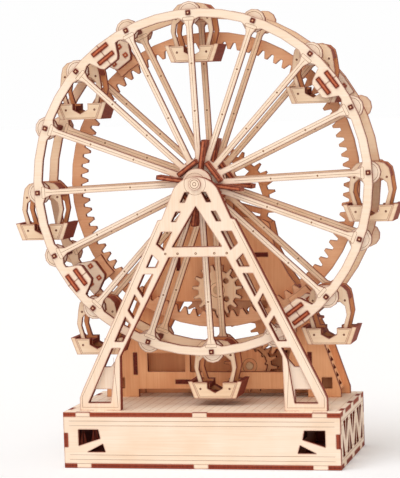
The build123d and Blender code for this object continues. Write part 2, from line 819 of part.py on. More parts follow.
def gears():
    small = gear_sketch(pinion_teeth, pinion_addendum)
    for i in range(pinion_holes):
        turn = 360 / pinion_holes * (i + 0.5)
        small -= Rot(0, 0, turn) * Pos(pinion_hole_circle, 0) * disc(pinion_hole_radius, small_sides)
    save("drive_pinion", sheet(on_shaft(small, PINION_PHASE), ring_front, PINION))
    relay = on_shaft(gear_sketch(relay_teeth), PINION_PHASE)
    save("relay_gear", sheet(relay, gear_front, PINION))
    shaft_back = rear_plate_front + ply + shaft_stand_out
    save("pinion_shaft", rod(shaft_diameter, ring_front - pin_stand_out, shaft_back, PINION))

    upper = on_shaft(lightened(upper_teeth, upper_arms), UPPER_PHASE)
    save("upper_gear", sheet(upper, gear_front, UPPER))
    save("upper_shaft", rod(shaft_diameter, rear_tower_front, shaft_back, UPPER))

    driver = on_shaft(gear_sketch(crank_teeth), CRANK_PHASE)
    save("crank_gear", sheet(driver, gear_front - shaft_stand_out, CRANK, crank_gear_depth))

    lower = on_shaft(gear_sketch(lower_teeth), LOWER_PHASE)
    save("lower_gear", sheet(lower, gear_front + ply, LOWER))
    save("lower_shaft", rod(shaft_diameter, gear_front - shaft_stand_out, shaft_back, LOWER))
    index = disc(index_disc_radius, index_teeth)
    for i in range(index_teeth):
        cut = Pos(index_disc_radius, 0) * Rectangle(*INDEX_NOTCH)
        index -= Rot(0, 0, 360 / index_teeth * (i + 0.25)) * cut
    save("index_disc", sheet(on_shaft(index, 0), gear_front, LOWER))


def crank():
    arm_front = rear_plate_front + ply + arm_gap
    end = disc(crank_arm_width / 2)
    arm = Pos(0, -crank_reach / 2) * Rectangle(crank_arm_width, crank_reach)
    arm += end + Pos(0, -crank_reach) * end
    arm -= hole(shaft_diameter / 2) + Pos(0, -crank_reach) * hole(grip_pin_diameter / 2)
    save("crank_arm", sheet(arm, arm_front, CRANK))
    save("crank_shaft", rod(shaft_diameter, rear_tower_front, arm_front + ply + shaft_stand_out, CRANK))
    place = (CRANK[0], CRANK[1] - crank_reach)
    grip_front = arm_front + ply
    grip = sheet(disc(grip_diameter / 2), grip_front, place, grip_length)
    ends = grip.edges().group_by(Axis.Y)
    grip = chamfer(ends[0] + ends[-1], grip_rounding)
    tenon = rod(grip_pin_diameter, arm_front, grip_front, place)
    save("crank_grip", grip + tenon)


# ---- gondolas
def barrel(half_width, top, low):
    """Upright barrel shape between two heights below the pin, flat above and below."""
    waist, shoulder = half_width - gondola_waist, half_width - gondola_shoulder
    right = bent((waist, -low), (half_width, -low / 2), (shoulder, -top))
    left = mirror(right, about=Plane.YZ)
    lid = Line((shoulder, -top), (-shoulder, -top))
    sill = Line((-waist, -low), (waist, -low))
    return make_face([right, lid, left, sill])


def arch(half_width, top, low):
    """Outline of a gondola frame: a barrel with a rounded crown over the pin."""
    side = half_width - gondola_shoulder
    flat = side - arch_flat
    bulge = (side - ARCH_BULGE[0], top - ARCH_BULGE[1])
    crown = bent((side, -gondola_spring), bulge, (flat, top), crown_sides)
    lid = Line((flat, top), (-flat, top))
    base = Line((-side, -gondola_spring), (side, -gondola_spring))
    top_face = make_face([crown, lid, mirror(crown, about=Plane.YZ), base])
    return top_face + barrel(half_width, gondola_spring, low)


def tub_outline(top_half, bottom_half, sill, bottom):
    return outline([(-top_half, -sill), (top_half, -sill), (bottom_half, -bottom), (-bottom_half, -bottom)])


def notch():
    """The opening in the tub's front and back, with a bowed bottom."""
    half = tub_notch_width / 2
    low = -gondola_sill - tub_notch_depth
    bow = bent((-half, low + tub_notch_bow), (0, low), (half, low + tub_notch_bow))
    top = Polyline((half, low + tub_notch_bow), (half, 1 - gondola_sill), (-half, 1 - gondola_sill),
                   (-half, low + tub_notch_bow))
    return make_face([bow, top])


def frame_sketch():
    bottom = gondola_sill + tub_height
    window = barrel(gondola_half_width - gondola_post, arch_lintel, gondola_sill)
    window = chamfer(window.vertices().group_by(Axis.Y)[-1], window_corner)
    body = arch(gondola_half_width, gondola_top, gondola_sill)
    top_in, bottom_in, raised = FRAME_FOOT
    lower = tub_outline(tub_top_half - top_in, tub_bottom_half - bottom_in, gondola_sill,
                        bottom - raised)
    return body + lower - window - notch() - hole(cross_pin / 2 + run_clearance, small_sides)


def gondola(index, turn):
    """One gondola: two frames and a roof, and the tub that hangs between them."""
    place = (pin_radius * sin(radians(turn)), axle_height + pin_radius * cos(radians(turn)))
    front = gondola_middle - gondola_depth / 2
    frame_front = gondola_middle - gondola_frame_gap / 2 - ply
    rear_frame = gondola_middle + gondola_frame_gap / 2
    frame = frame_sketch()
    ring = arch(gondola_half_width - roof_inset, gondola_top - roof_inset, gondola_sill)
    core = arch(gondola_half_width - roof_inset - roof_board, gondola_top - roof_inset - roof_board,
                gondola_sill)
    shoulder = (ring - core) & block(roof_start, gondola_half_width, -roof_fall, gondola_top)
    pieces = [sheet(frame, frame_front, place), sheet(frame, rear_frame, place)]
    for roof in (shoulder, mirror(shoulder, about=Plane.YZ)):
        pieces.append(sheet(roof, frame_front + ply, place, gondola_frame_gap))
    save("gondola_%d_frame" % index, group(pieces))

    bottom = gondola_sill + tub_height
    cover = tub_outline(tub_top_half, tub_bottom_half, gondola_sill, bottom) - notch()
    cover_depth = (gondola_depth - gondola_frame_gap) / 2 - ply
    slope = ply / cos(atan2(tub_top_half - tub_bottom_half, tub_height))
    rim = tub_rim - gondola_sill
    side = outline([(tub_top_half, rim), (tub_top_half + slope, rim),
                    (tub_bottom_half + slope, -bottom), (tub_bottom_half, -bottom)])
    side -= tub_outline(tub_top_half, tub_bottom_half, gondola_sill, bottom)
    floor_bottom = bottom - floor_raise
    floor = tub_outline(tub_bottom_half, tub_bottom_half - floor_draft, floor_bottom - ply, floor_bottom)
    bench_top = -gondola_sill - bench_drop
    bench = block(bench_inner, bench_outer, bench_top - ply, bench_top)
    tub = [sheet(cover, front, place, cover_depth),
           sheet(cover, front + gondola_depth - cover_depth, place, cover_depth)]
    for piece in (side, mirror(side, about=Plane.YZ)):
        tub.append(sheet(piece, front, place, gondola_depth))
    for piece in (floor, bench, mirror(bench, about=Plane.YZ)):
        tub.append(sheet(piece, frame_front + ply, place, gondola_frame_gap))
    save("gondola_%d_tub" % index, group(tub))


def main():
    os.makedirs("parts", exist_ok=True)
    base_pieces()
    front_tower()
    rear_tower()
    wheel_quadrants()
    joint_discs()
    cross_bars()
    splices()
    hub()
    axle()
    toothed_ring()
    gears()
    crank()
    for i, turn in enumerate(joint_turns()[::2]):
        gondola(i + 1, turn + wheel_turn)


main()
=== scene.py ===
from math import cos, pi, radians, sin

import bpy
from mathutils import Matrix, Vector


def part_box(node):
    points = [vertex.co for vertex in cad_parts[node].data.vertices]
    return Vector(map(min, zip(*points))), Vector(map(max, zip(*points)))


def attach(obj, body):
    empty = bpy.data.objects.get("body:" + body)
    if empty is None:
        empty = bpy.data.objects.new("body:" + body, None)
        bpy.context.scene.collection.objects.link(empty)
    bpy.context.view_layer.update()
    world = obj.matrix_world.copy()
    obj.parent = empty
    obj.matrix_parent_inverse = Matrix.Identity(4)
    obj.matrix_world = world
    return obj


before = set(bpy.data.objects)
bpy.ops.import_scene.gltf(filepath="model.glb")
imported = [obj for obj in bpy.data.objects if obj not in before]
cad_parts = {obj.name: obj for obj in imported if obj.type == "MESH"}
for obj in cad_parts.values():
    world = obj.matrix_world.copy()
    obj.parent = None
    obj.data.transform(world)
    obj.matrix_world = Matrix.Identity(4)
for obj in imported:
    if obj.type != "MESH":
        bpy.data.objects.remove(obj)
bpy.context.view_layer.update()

# A laser-cut plywood wheel toy. The CAD model is the frame. This file gives every sheet
# its birch face and its burnt cut edge, adds the lines burnt into the faces, and closes
# the gap under the rear tower with a low sheet.
# Lengths are millimetres in the frame's axes: front is -Y, up is +Z.
MM = 0.001
X, Y, Z = 0, 1, 2
SIDES = (-1, 1)
ply = 3.0                    # thickness of the plywood
GONDOLAS = tuple("gondola_%d" % i for i in range(1, 9))


def reach(box, axis):
    """Where a box begins and ends along an axis, in millimetres."""
    low, high = box
    return low[axis] / MM, high[axis] / MM


# ---- places on the wheel; turns are degrees clockwise from upright, seen from the front
wheel_front = reach(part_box("front_quadrant_1"), Y)[0]
rear_wheel_front = reach(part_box("rear_quadrant_1"), Y)[0]
rear_wheel_back = rear_wheel_front + ply
axle_height = sum(reach(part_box("hub_discs"), Z)) / 2
wheel_turn = -2.21           # how far the whole wheel stands turned
SPOKES = 16
spoke_step = 22.5
pin_circle = 115.2           # radius of the circle of square pins
SEAMS = tuple(-33.75 + 90 * q for q in range(4))     # where the quarters of a rim meet
FINS = tuple(seam + 45 for seam in SEAMS)


def on_wheel(turn, radius, y, aside=0.0):
    """A point at a turn from upright and a radius, moved aside along the rim."""
    angle = radians(turn + wheel_turn)
    return Vector((radius * sin(angle) + aside * cos(angle), y,
                   axle_height + radius * cos(angle) - aside * sin(angle)))


# ---- colours and materials
def linear(code):
    """An sRGB hex colour as the linear colour that a shader takes."""
    parts = [int(code[i:i + 2], 16) / 255 for i in (1, 3, 5)]
    return [((c + 0.055) / 1.055) ** 2.4 if c > 0.04045 else c / 12.92 for c in parts] + [1.0]


def add(tree, kind, sockets=None, out=None, **settings):
    """Adds one node with its settings, and gives each socket a value or a link.

    Gives back the node, or the output that is asked for."""
    made = tree.nodes.new(kind)
    for name, value in settings.items():
        setattr(made, name, value)
    for socket, value in (sockets or {}).items():
        if isinstance(value, bpy.types.NodeSocket):
            tree.links.new(value, made.inputs[socket])
        else:
            made.inputs[socket].default_value = value
    return made if out is None else made.outputs[out]


# settings of a mix node for two colours, which are its sockets 6 and 7, with its result at 2
BLENDED = {"data_type": "RGBA", "blend_type": "MIX"}
TINTED = {"data_type": "RGBA", "blend_type": "MULTIPLY"}


def in_millimetres(tree, origin=(0, 0, 0), stretch=(1, 1, 1)):
    """Object coordinates in millimetres from an origin, stretched along each axis."""
    place = add(tree, "ShaderNodeTexCoord", out="Object")
    moved = add(tree, "ShaderNodeMapping", {0: place, 1: [-c * MM for c in origin]}, out=0)
    return add(tree, "ShaderNodeMapping", {0: moved, 3: [s / MM for s in stretch]}, out=0)


def new_material(name):
    """A material, its node tree and its shader."""
    made = bpy.data.materials.new(name)
    made.use_nodes = True
    return made, made.node_tree, made.node_tree.nodes["Principled BSDF"]


wood_ior = 1.45
GRAIN_LENGTH = 45.0          # birch streaks run on for about 4 cm
GRAIN_WIDTH = 1.3            # real ones are 0.3 to 1 mm wide; drawn coarser so that they show
GRAIN_HEIGHT = 0.08          # how far hard grain stands up
MOTTLE = 28.0                # broad patches of the rotary-cut veneer
CHAR_WIDTH = 0.45            # fine ripples that the laser leaves across the cut
SMOKE_WIDTH = 1.0            # brown smoke line along each cut, on the face
CORE_BLUR = 0.2              # how softly the middle ply gives way to the outer two
CRACKLE_HEIGHT = 0.05
BASE_MIDDLE = (0.0, 0.0, 20.6)   # the side of a base sheet that looks here is its inside
# strengths of the pattern between which a tone goes from one end to the other
GRAIN_SPREAD, SMOKE_SPREAD = (0.75, 1.25), (0.35, 0.95)
CHAR_SPREAD, CRACKLE_SPREAD = (0.35, 1.15), (0.3, 0.7)
grain_bump, crackle_bump = 0.25, 0.3
cut_roughness, face_roughness = 0.85, 0.6
least_flat = 0.7             # a normal more along the sheet's own than this is on its face
INSIDE = "inside the base"


def birch_grain(tree, light, dark, origin, grain):
    """The bare face in streaks and broad patches, and the streaks by themselves."""
    stretch = [1 / GRAIN_WIDTH] * 3
    stretch[grain] = 1 / GRAIN_LENGTH
    streaks = add(tree, "ShaderNodeTexNoise",
                  {0: in_millimetres(tree, origin, stretch),
                   "Scale": 1.0, "Detail": 4.0, "Roughness": 0.6}, out=0)
    patches = add(tree, "ShaderNodeTexNoise",
                  {0: in_millimetres(tree, origin, [1 / MOTTLE] * 3),
                   "Scale": 1.0, "Detail": 2.0}, out=0)
    tone = add(tree, "ShaderNodeMath", {0: streaks, 1: patches}, out=0, operation="ADD")
    tone = add(tree, "ShaderNodeMapRange",
               {0: tone, 1: GRAIN_SPREAD[0], 2: GRAIN_SPREAD[1]}, out=0)
    face = add(tree, "ShaderNodeMix", {0: tone, 6: linear(light), 7: linear(dark)}, out=2,
               **BLENDED)
    return face, streaks


def painted_shade_part(tree, where, thickness):
    """Where a sheet gets painted shade: on its side inside the base, or behind a depth."""
    if where == INSIDE:
        place = add(tree, "ShaderNodeSeparateXYZ", {0: in_millimetres(tree, BASE_MIDDLE)},
                    out=thickness)
        normal = add(tree, "ShaderNodeTexCoord", out="Normal")
        facing = add(tree, "ShaderNodeSeparateXYZ", {0: normal}, out=thickness)
        looks = add(tree, "ShaderNodeMath", {0: place, 1: facing}, out=0, operation="MULTIPLY")
        return add(tree, "ShaderNodeMath", {0: looks, 1: 0.0}, out=0, operation="LESS_THAN")
    depth = add(tree, "ShaderNodeSeparateXYZ", {0: in_millimetres(tree)}, out=Y)
    return add(tree, "ShaderNodeMath", {0: depth, 1: where}, out=0, operation="GREATER_THAN")


def smoke_line(tree, face, light, ember, smoke):
    """The face, darkened within a millimetre or so of a cut."""
    near_cut = add(tree, "ShaderNodeAmbientOcclusion", {"Distance": SMOKE_WIDTH * MM}, out="AO",
                   samples=6, inside=True, only_local=True)
    open_face = add(tree, "ShaderNodeMapRange",
                    {0: near_cut, 1: SMOKE_SPREAD[0], 2: SMOKE_SPREAD[1]}, out=0)
    smoked = add(tree, "ShaderNodeMix", {0: smoke, 6: linear(light), 7: linear(ember)}, out=2,
                 **TINTED)
    return add(tree, "ShaderNodeMix", {0: open_face, 6: smoked, 7: face}, out=2, **BLENDED)


def burnt_cut(tree, burnt, ember, thickness, origin):
    """The cut: ripples through the sheet, darker where the middle ply shows its end grain."""
    across = [1 / CHAR_WIDTH] * 3
    across[thickness] = 1 / (2 * ply)
    ripples = add(tree, "ShaderNodeTexNoise",
                  {0: in_millimetres(tree, origin, across), "Scale": 1.0, "Detail": 2.0}, out=0)
    depth = add(tree, "ShaderNodeSeparateXYZ", {0: in_millimetres(tree, origin)}, out=thickness)
    band = add(tree, "ShaderNodeMath", {0: depth, 1: ply / 2}, out=0, operation="PINGPONG")
    core = add(tree, "ShaderNodeMapRange",
               {0: band, 1: ply / 3 - CORE_BLUR, 2: ply / 3 + CORE_BLUR}, out=0)
    char = add(tree, "ShaderNodeMath", {0: ripples, 1: core, 2: ripples}, out=0,
               operation="MULTIPLY_ADD")
    char = add(tree, "ShaderNodeMapRange", {0: char, 1: CHAR_SPREAD[0], 2: CHAR_SPREAD[1]},
               out=0)
    return add(tree, "ShaderNodeMix", {0: char, 6: linear(ember), 7: linear(burnt)}, out=2,
               **BLENDED)


def birch_ply(name, tones, thickness, origin, grain, painted_shade):
    """Birch plywood, laser cut and bare.

    The faces are pale, matt and softly streaked along the grain, and the cut edges are
    charred red-brown, in ripples across the sheet and in bands where the plies meet.
    Light from the side shows the face a little raised where the grain is hard."""
    light, dark, burnt, ember, smoke = tones
    made, tree, shader = new_material(name)
    face, streaks = birch_grain(tree, light, dark, origin, grain)
    # painted shade: the face multiplied by a ruddier colour on its side inside the base, or
    # behind a depth on a gondola
    if painted_shade is not None:
        where, shade_tint = painted_shade
        shaded_face = add(tree, "ShaderNodeMix", {0: 1.0, 6: face, 7: linear(shade_tint)}, out=2,
                      **TINTED)
        face = add(tree, "ShaderNodeMix",
                   {0: painted_shade_part(tree, where, thickness), 6: face, 7: shaded_face}, out=2,
                   **BLENDED)
    face = smoke_line(tree, face, light, ember, smoke)
    cut = burnt_cut(tree, burnt, ember, thickness, origin)

    normal = add(tree, "ShaderNodeTexCoord", out="Normal")
    facing = add(tree, "ShaderNodeSeparateXYZ", {0: normal}, out=thickness)
    flat = add(tree, "ShaderNodeMath", {0: facing}, out=0, operation="ABSOLUTE")
    is_face = add(tree, "ShaderNodeMath", {0: flat, 1: least_flat}, out=0,
                  operation="GREATER_THAN")
    colour = add(tree, "ShaderNodeMix", {0: is_face, 6: cut, 7: face}, out=2, **BLENDED)
    tree.links.new(colour, shader.inputs["Base Color"])
    rough = add(tree, "ShaderNodeMapRange", {0: is_face, 3: cut_roughness, 4: face_roughness},
                out=0)
    tree.links.new(rough, shader.inputs["Roughness"])
    raised = add(tree, "ShaderNodeBump",
                 {"Strength": grain_bump, "Distance": GRAIN_HEIGHT * MM, "Height": streaks},
                 out=0)
    tree.links.new(raised, shader.inputs["Normal"])
    shader.inputs["IOR"].default_value = wood_ior
    return made


def charred(name, dark, light, scale, roughness):
    """Wood between two tones, with a fine crackle of one scale that light picks out."""
    made, tree, shader = new_material(name)
    crackle = add(tree, "ShaderNodeTexNoise",
                  {0: in_millimetres(tree, stretch=[1 / scale] * 3),
                   "Scale": 1.0, "Detail": 3.0}, out=0)
    tone = add(tree, "ShaderNodeMapRange",
               {0: crackle, 1: CRACKLE_SPREAD[0], 2: CRACKLE_SPREAD[1]}, out=0)
    colour = add(tree, "ShaderNodeMix", {0: tone, 6: linear(dark), 7: linear(light)}, out=2,
                 **BLENDED)
    tree.links.new(colour, shader.inputs["Base Color"])
    raised = add(tree, "ShaderNodeBump",
                 {"Strength": crackle_bump, "Distance": CRACKLE_HEIGHT * MM,
                  "Height": crackle}, out=0)
    tree.links.new(raised, shader.inputs["Normal"])
    shader.inputs["Roughness"].default_value = roughness
    shader.inputs["IOR"].default_value = wood_ior
    return made


mark_crackle = 0.8           # scale of the crackle on lines and other small marks


def burnt_line(place=""):
    """A line that the laser has burnt: a dull brown, paler than a cut edge."""
    return charred("engraved_line" + place, "#84563A", "#A6744F", mark_crackle, 0.8)


# each finish: face, its darker streaks, burnt edge, ember edge, strength of the smoke line
PALE = ("#FAE6D2", "#F2D7BC", "#641E10", "#9A432A", 0.9)
# painted light: a paler, less smoked copy of the birch, so that the deck's top looks lit from
# above
DECK_LIT = ("#FFF1DF", "#FBE3CA", "#7A2A18", "#A44C30", 0.5)
WHEEL = ("#FBE8D4", "#F3DABF", "#5A1B10", "#8E3C26", 0.92)
# painted shade: darker, more orange copies of the same pale birch for the rear wheel, the rear
# tower, the toothed ring and the gears, which stand in shade
REAR_WHEEL_SHADED = ("#F8DBBC", "#EFCAA4", "#6E2612", "#A04A2A", 0.75)
SHADED = ("#FAC08E", "#ECA674", "#5E1C0C", "#933E22", 0.75)
DEEP_SHADED = ("#F0AE7A", "#E09666", "#52180A", "#853418", 0.75)
WARM_SHADED = ("#F9C397", "#ECAC7E", "#641F10", "#984420", 0.75)
PALE_SHADED_GEAR = ("#FFDDB8", "#F6CA9E", "#5A1B10", "#8E3C26", 0.95)
CABIN = ("#F6DDC0", "#EAC9A6", "#641F10", "#9C462C", 0.8)
# painted shade: a dark red-brown birch for the ribs, which stand in shade inside the base
INSIDE_SHADE = ("#A4583A", "#8C4229", "#4A140A", "#6E2A18", 0.7)
# painted shade and the colour that it multiplies in: on the faces inside the base, or behind
# this depth on a gondola
BASE_INSIDE_SHADE = (INSIDE, "#8A2E18")
FRAME_BACK_SHADE, TUB_BACK_SHADE = (-10.0, "#E9AE84"), (-16.0, "#E9AE84")

# nodes, tones, the axis that the sheet is thin along, the axis of its grain, its painted shade
FINISHES = (
    (("base_floor",), PALE, Z, X, BASE_INSIDE_SHADE),
    (("base_deck",), DECK_LIT, Z, X, BASE_INSIDE_SHADE),
    (("base_front_panel", "base_back_panel"), PALE, Y, X, BASE_INSIDE_SHADE),
    (("base_side_panels",), PALE, X, Y, BASE_INSIDE_SHADE),
    (("base_ribs",), INSIDE_SHADE, X, Y, None),
    (("front_tower_face", "front_tower_backing"), PALE, Y, Z, None),
    (("rear_tower_front_plate",), SHADED, Y, Z, None),
    (("rear_tower_back_plate",), DEEP_SHADED, Y, Z, None),
    (("rear_tower_side_strips",), SHADED, X, Y, None),
    (tuple("front_quadrant_%d" % i for i in (1, 2, 3, 4)), WHEEL, Y, X, None),
    (tuple("rear_quadrant_%d" % i for i in (1, 2, 3, 4)), REAR_WHEEL_SHADED, Y, X, None),
    (("front_joint_discs", "rim_splice_plates"), WHEEL, Y, X, None),
    (("rear_joint_discs",), REAR_WHEEL_SHADED, Y, X, None),
    (("hub_discs", "wheel_axle"), PALE, Y, X, None),
    (("toothed_ring", "ring_brackets"), WARM_SHADED, Y, X, None),
    (("drive_pinion",), PALE_SHADED_GEAR, Y, Z, None),
    (("relay_gear",), WARM_SHADED, Y, Z, None),
    (("upper_gear", "lower_gear", "index_disc"), DEEP_SHADED, Y, Z, None),
    (("crank_gear",), SHADED, Y, Z, None),
    (("crank_arm",), PALE, Y, Z, None),
    (tuple(name + "_frame" for name in GONDOLAS), CABIN, Y, Z, FRAME_BACK_SHADE),
    (tuple(name + "_tub" for name in GONDOLAS), CABIN, Y, X, TUB_BACK_SHADE),
)


def paint(names, made):
    for name in names:
        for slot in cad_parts[name].material_slots:
            slot.material = made


def finish_sheets():
    """Gives every sheet node birch with the grain and the plies set from its own corner.

    Gondolas that begin at one depth share a material."""
    known = {}
    for names, tones, thickness, grain, painted_shade in FINISHES:
        for name in names:
            corner = tuple(round(c / MM, 1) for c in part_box(name)[0])
            shared = corner if "gondola" not in name else corner[Y]
            key = (tones, thickness, grain, painted_shade, shared)
            if key not in known:
                known[key] = birch_ply("laser_cut_birch_" + name, tones, thickness, corner,
                                       grain, painted_shade)
            paint((name,), known[key])


def finish_pins():
    """Fins, keys, cross bars and shafts: their cut ends face the front."""
    # square pins and tie bars: dark all over, because every side is a cut
    key_ends = charred("charred_key_ends", "#460F06", "#7E2C19", 1.6, 0.8)
    # fins and boards at the hub: red-brown, with paler places
    fins = charred("charred_fins", "#7E2A15", "#C06A45", 2.2, 0.75)
    # turned beech: pale, smoother than a cut, and only faintly mottled
    dowels = charred("beech_dowel", "#CFA57A", "#E6C49A", 3.0, 0.55)
    # keys at the seams: a brighter orange-red
    splice_keys = charred("charred_splice_keys", "#8E3519", "#BE5B35", 1.8, 0.75)
    paint(("gondola_pins", "rim_spacer_bars", "rear_tower_spacers"), key_ends)
    paint(("rim_splice_keys",), splice_keys)
    paint(("hub_fins", "hub_boards"), fins)
    paint(("pinion_shaft", "upper_shaft", "lower_shaft", "crank_shaft", "crank_grip"), dowels)


# ---- light, floor and camera
floor_size, floor_drop = 60.0, 0.0002                # metres
PAPER_CLOUD = 40.0           # faint clouds in the paper
paper_roughness = 0.9
paper_lift = 0.08            # the photographed paper is a little over-lit
ambient_strength = 0.6
# name, where it shines from, strength, and spread in degrees
LAMPS = (("key_light", (-0.5, -0.7, 1.6), 1.45, 50.0),
         ("fill_light", (0.3, -1.4, 0.25), 0.5, 25.0))


def studio():
    """A pale floor under soft light from above and the front."""
    bpy.ops.object.select_all(action="DESELECT")
    bpy.ops.mesh.primitive_plane_add(size=floor_size, location=(0, 0, -floor_drop))
    floor = bpy.context.object
    floor.name = "studio_floor"
    floor.data.materials.append(floor_paper())
    for name, place, strength, spread in LAMPS:
        bpy.ops.object.light_add(type="SUN", location=place)
        lamp = bpy.context.object
        lamp.name = name
        lamp.data.energy = strength
        lamp.data.angle = radians(spread)
        lamp.rotation_euler = (-Vector(place)).to_track_quat("-Z", "Y").to_euler()
    world = bpy.context.scene.world or bpy.data.worlds.new("studio_world")
    bpy.context.scene.world = world
    world.use_nodes = True
    tree = world.node_tree
    tree.nodes.clear()
    rays = add(tree, "ShaderNodeLightPath").outputs
    clear = add(tree, "ShaderNodeMath", {0: rays["Is Camera Ray"], 1: rays["Is Glossy Ray"]},
                out=0, operation="MAXIMUM")
    clear = add(tree, "ShaderNodeMath", {0: clear, 1: rays["Is Transmission Ray"]}, out=0,
                operation="MAXIMUM")
    ambient = add(tree, "ShaderNodeBackground",
                  {"Color": linear("#FFF2E4"), "Strength": ambient_strength}, out=0)
    white = add(tree, "ShaderNodeBackground", {"Color": linear("#FEFEFE"), "Strength": 1.0},
                out=0)
    mixed = add(tree, "ShaderNodeMixShader", {0: clear, 1: ambient, 2: white}, out=0)
    add(tree, "ShaderNodeOutputWorld", {0: mixed})


def floor_paper():
    """White background paper: matt, and clear white where no shadow falls."""
    made, tree, shader = new_material("white_background_paper")
    fibres = add(tree, "ShaderNodeTexNoise",
                 {0: in_millimetres(tree, stretch=[1 / PAPER_CLOUD] * 3), "Scale": 1.0}, out=0)
    colour = add(tree, "ShaderNodeMix", {0: fibres, 6: linear("#F5FAFF"), 7: linear("#F3F8FF")},
                 out=2, **BLENDED)
    tree.links.new(colour, shader.inputs["Base Color"])
    shader.inputs["Roughness"].default_value = paper_roughness
    # the lift shows to the camera and lights nothing
    seen = add(tree, "ShaderNodeLightPath", out="Is Camera Ray")
    lift = add(tree, "ShaderNodeMath", {0: seen, 1: paper_lift}, out=0, operation="MULTIPLY")
    tree.links.new(lift, shader.inputs["Emission Strength"])
    shader.inputs["Emission Color"].default_value = linear("#FFFFFF")
    return made


CAMERA_PLACE = (323.322, -1398.613, 249.105)
camera_turn, camera_down, camera_roll = 0.232363, 0.0676804, -0.0320084      # radians
focal_pixels, long_side_pixels, sensor = 2080.37, 478, 36.0
nearest_seen, farthest_seen = 0.05, 20.0             # metres


def camera():
    """The photograph's own view point, worked out from the rims and the base."""
    bpy.ops.object.camera_add()
    made = bpy.context.object
    made.data.lens = focal_pixels / long_side_pixels * sensor
    made.data.sensor_width = sensor
    made.data.clip_start, made.data.clip_end = nearest_seen, farthest_seen
    place = Matrix.Translation(Vector(CAMERA_PLACE) * MM)
    turn = (Matrix.Rotation(camera_turn, 4, "Z") @ Matrix.Rotation(pi / 2 - camera_down, 4, "X")
            @ Matrix.Rotation(camera_roll, 4, "Z"))
    made.matrix_world = place @ turn
    bpy.context.scene.camera = made


# ---- lines burnt into the faces, and the ends of pins
FRONT, BACK, UP = Vector((0, -1, 0)), Vector((0, 1, 0)), Vector((0, 0, 1))
RIGHT, LEFT = Vector((1, 0, 0)), Vector((-1, 0, 0))
line_width = 0.22            # as a laser engraves it
line_rise = 0.08             # how far its burr stands over the face
overrun = 0.5                # share of its width that a line is longer, so that corners close
eased_edge = 0.12            # bevel of the bar of unit size


def bare_stroke():
    """A bar of unit size with eased edges: every engraved line is a copy of it."""
    bpy.ops.object.select_all(action="DESELECT")
    bpy.ops.mesh.primitive_cube_add(size=1.0)
    bar = bpy.context.object
    bpy.ops.object.mode_set(mode="EDIT")
    bpy.ops.mesh.select_all(action="SELECT")
    bpy.ops.mesh.bevel(offset=eased_edge, segments=1, affect="EDGES")
    bpy.ops.object.mode_set(mode="OBJECT")
    return bar


class Engraving:
    """Marks of one material that ride on one body, gathered into one piece."""

    def __init__(self, name, body, made):
        self.name, self.body, self.made, self.copies = name, body, made, []

    def stroke(self, start, end, normal=FRONT, width=line_width, rise=line_rise):
        """A straight line between two points of a face with this normal."""
        start, end = Vector(start) * MM, Vector(end) * MM
        run = end - start
        along = run.normalized()
        basis = Matrix((along, normal.cross(along), normal)).transposed().to_4x4()
        size = Matrix.Diagonal((run.length + width * MM * overrun, width * MM, 2 * rise * MM, 1))
        copied = STROKE.data.copy()
        copied.transform(Matrix.Translation((start + end) / 2) @ basis @ size)
        self.copies.append(bpy.data.objects.new(self.name + "_line", copied))
        bpy.context.collection.objects.link(self.copies[-1])

    def path(self, points, normal=FRONT, width=line_width, rise=line_rise):
        """Straight lines from each point to the next."""
        for start, end in zip(points, points[1:]):
            self.stroke(start, end, normal, width, rise)

    def outline(self, points, normal=FRONT, width=line_width, rise=line_rise):
        """Straight lines through all the points and back to the first."""
        self.path(points + points[:1], normal, width, rise)

    def circle(self, centre, radius, normal=FRONT, width=line_width, steps=24):
        """A burnt circle in short strokes."""
        first = normal.orthogonal().normalized()
        second = normal.cross(first)
        turns = [2 * pi * i / steps for i in range(steps)]
        self.outline([Vector(centre) + radius * (cos(turn) * first + sin(turn) * second)
                      for turn in turns], normal, width)

    def square(self, centre, along, size, normal):
        """A small flat square, such as the bare middle of a pin's end."""
        half = along * (size * (1 - overrun) / 2)
        self.stroke(centre - half, centre + half, normal, size)

    def finish(self):
        bpy.ops.object.select_all(action="DESELECT")
        for one in self.copies:
            one.select_set(True)
        bpy.context.view_layer.objects.active = self.copies[0]
        bpy.ops.object.join()
        piece = bpy.context.object
        piece.name = self.name
        piece.data.materials.clear()
        piece.data.materials.append(self.made)
        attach(piece, self.body)


# ---- marks on the wheel, at radii from its axle
SPOKE_DOTS = (49.0, 81.0)
SPOKE_RUNS = ((24.0, 47.8), (50.2, 79.8), (82.2, 109.6))
seam_inner, seam_outer = 101.8, 117.6
dot_radius, dot_line, dot_steps = 0.45, 0.5, 6
# the long round mark where a spoke meets the rim
pill_radius, pill_length, pill_height, pill_cut = 111.2, 8.0, 2.2, 0.66
disc_mark_radius, disc_mark_line = 6.2, 0.28
pin_heart = 1.05
# two keys in front of each seam, and four square pins at its rear
KEY_RADII, key_length = (114.1, 107.0), 13.3
REAR_PINS, rear_pin_spread, rear_pin_proud = (113.5, 106.2), 5.1, 0.4
# a fin and a board at the hub: radius of the middle, then the size along the rim and outward
FIN_END, BOARD_END = (18.25, ply, 22.5), (12.8, 16.2, ply)
fin_depth = 13.0
CAP_CIRCLES, cap_line = ((2.9, 24), (1.2, 10)), 0.4  # radius and steps of each
border_inset, border_line = 0.35, 0.45
ember_inset, ember_line = 1.2, 0.35


def pill(turn, y):
    half, rise = pill_length / 2, pill_height / 2
    corners = [(-half, -pill_cut), (-half, pill_cut), (-half + pill_cut, rise),
               (half - pill_cut, rise), (half, pill_cut), (half, -pill_cut),
               (half - pill_cut, -rise), (-half + pill_cut, -rise)]
    return [on_wheel(turn, pill_radius + up, y, aside) for aside, up in corners]


